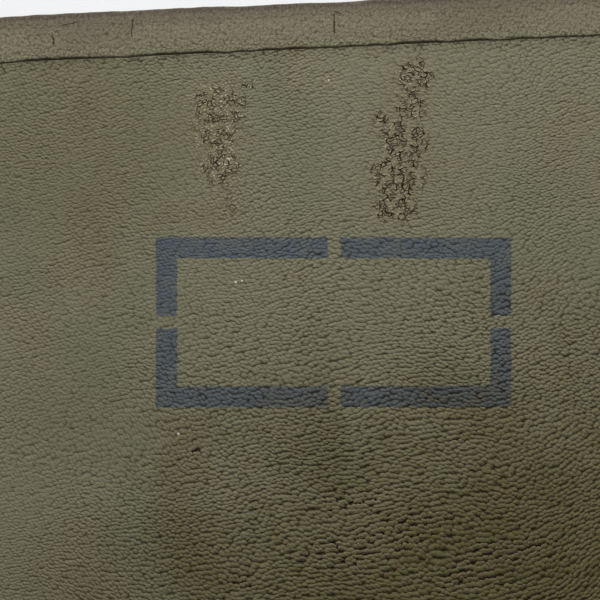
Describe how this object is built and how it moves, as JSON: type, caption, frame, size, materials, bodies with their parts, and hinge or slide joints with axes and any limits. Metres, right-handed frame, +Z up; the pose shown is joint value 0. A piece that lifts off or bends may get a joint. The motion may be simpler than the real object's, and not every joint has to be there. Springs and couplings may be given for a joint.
{
  "type": "suitcase",
  "caption": "Flat rectangular travelling case in olive pebbled leather with bound edges, a hinged lid and a carrying handle that swings on its front wall.",
  "frame": {"origin": "on the floor under the middle of the whole object, with the handle hanging", "axes": "+X along the width, +Y from the handle side to the hinge side, +Z up through the lid; the case lies on its back"},
  "size_m": [0.533, 0.377, 0.1657],
  "materials": {
    "hide": "olive pebbled hide, worn",
    "binding": "olive-brown hide, fine grain, worn",
    "grip": "hand-darkened hide",
    "steel": "dark, aged"
  },
  "bodies": {
    "base": {"base_shell": "hide", "base_binding": "binding", "clasp_left": "steel", "clasp_right": "steel", "hinge_base_leaf_left": "steel", "hinge_base_leaf_right": "steel", "handle_bracket_left": "steel", "handle_bracket_right": "steel"},
    "lid": {"lid_shell": "hide", "lid_binding": "binding", "hinge_lid_leaf_left": "steel", "hinge_lid_leaf_right": "steel"},
    "handle": {"handle_bail": "steel", "handle_grip": "grip"}
  },
  "joints": [
    {"name": "lid_hinge", "type": "hinge", "parent": "base", "child": "lid", "pos_m": [0, 0.18665, 0.107], "axis": [-1, 0, 0], "range_deg": [0, 110]},
    {"name": "handle_swing", "type": "hinge", "parent": "base", "child": "handle", "pos_m": [0, -0.17855, 0.074], "axis": [-1, 0, 0], "range_deg": [0, 180]}
  ]
}
